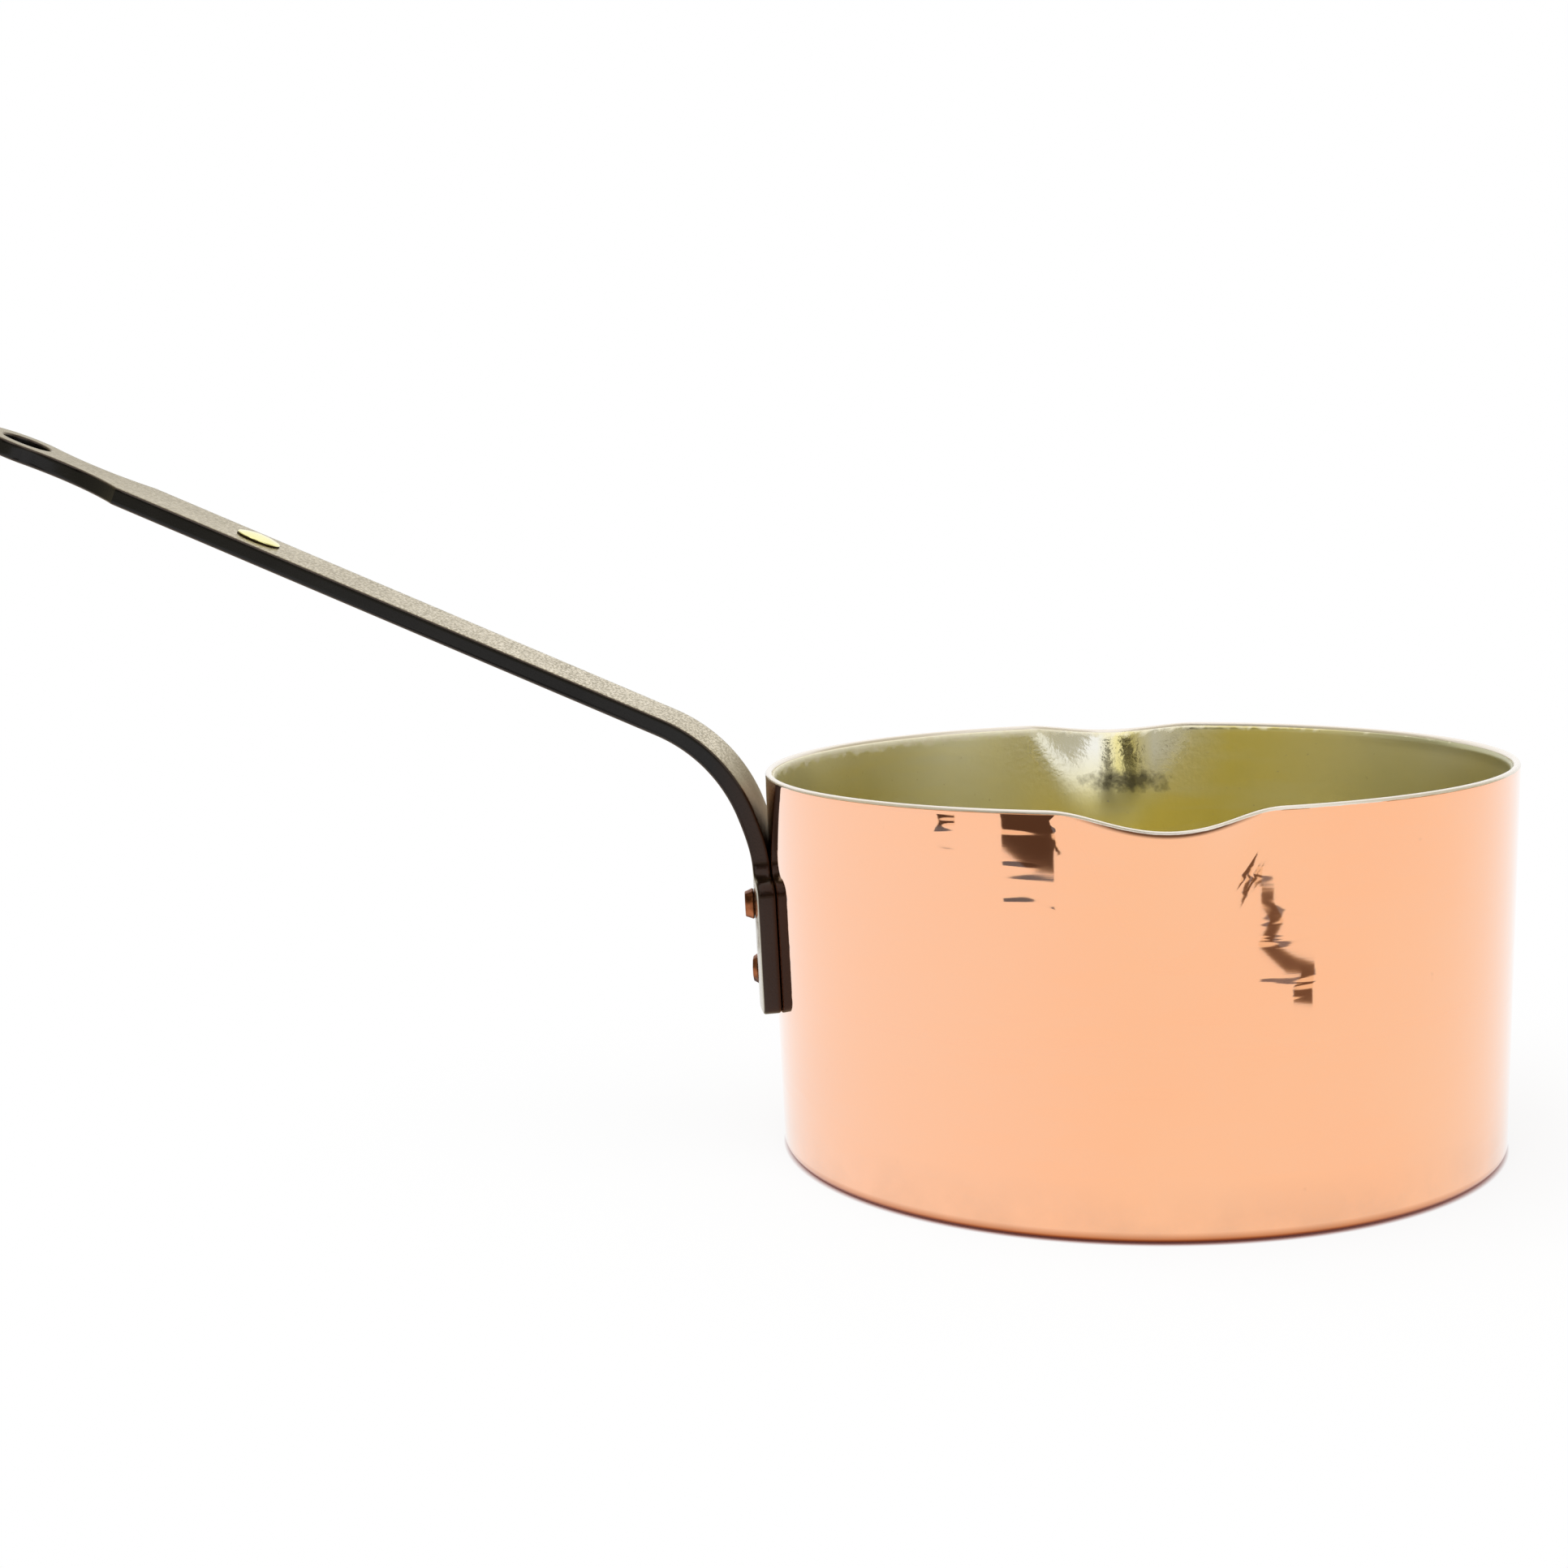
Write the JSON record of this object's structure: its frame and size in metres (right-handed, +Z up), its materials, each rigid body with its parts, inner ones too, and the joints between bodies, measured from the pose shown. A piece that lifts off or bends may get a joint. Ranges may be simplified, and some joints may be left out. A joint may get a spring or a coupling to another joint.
{
  "type": "milk pan",
  "caption": "Tinned copper milk pan with pouring lips pressed into the rim on both sides and a long riveted iron handle that rises to a hanging eye.",
  "frame": {"origin": "centre of the flat underside of the pan", "axes": "+Z up out of the pan, the handle along -X, the pouring lips along -Y and +Y"},
  "size_m": [0.3327, 0.1774, 0.1627],
  "materials": {
    "polished_copper": "polished copper",
    "wiped_tin": "hand-wiped tin, soft sheen",
    "dark_iron": "forged iron with a fine grain",
    "rivet_copper": "hammered copper",
    "polished_brass": "polished brass"
  },
  "bodies": {
    "root": {"pan_body": "polished_copper", "tin_lining": "wiped_tin", "handle": "dark_iron", "rivet_upper_front": "rivet_copper", "rivet_upper_rear": "rivet_copper", "rivet_lower": "rivet_copper", "brass_disc": "polished_brass"}
  },
  "joints": []
}
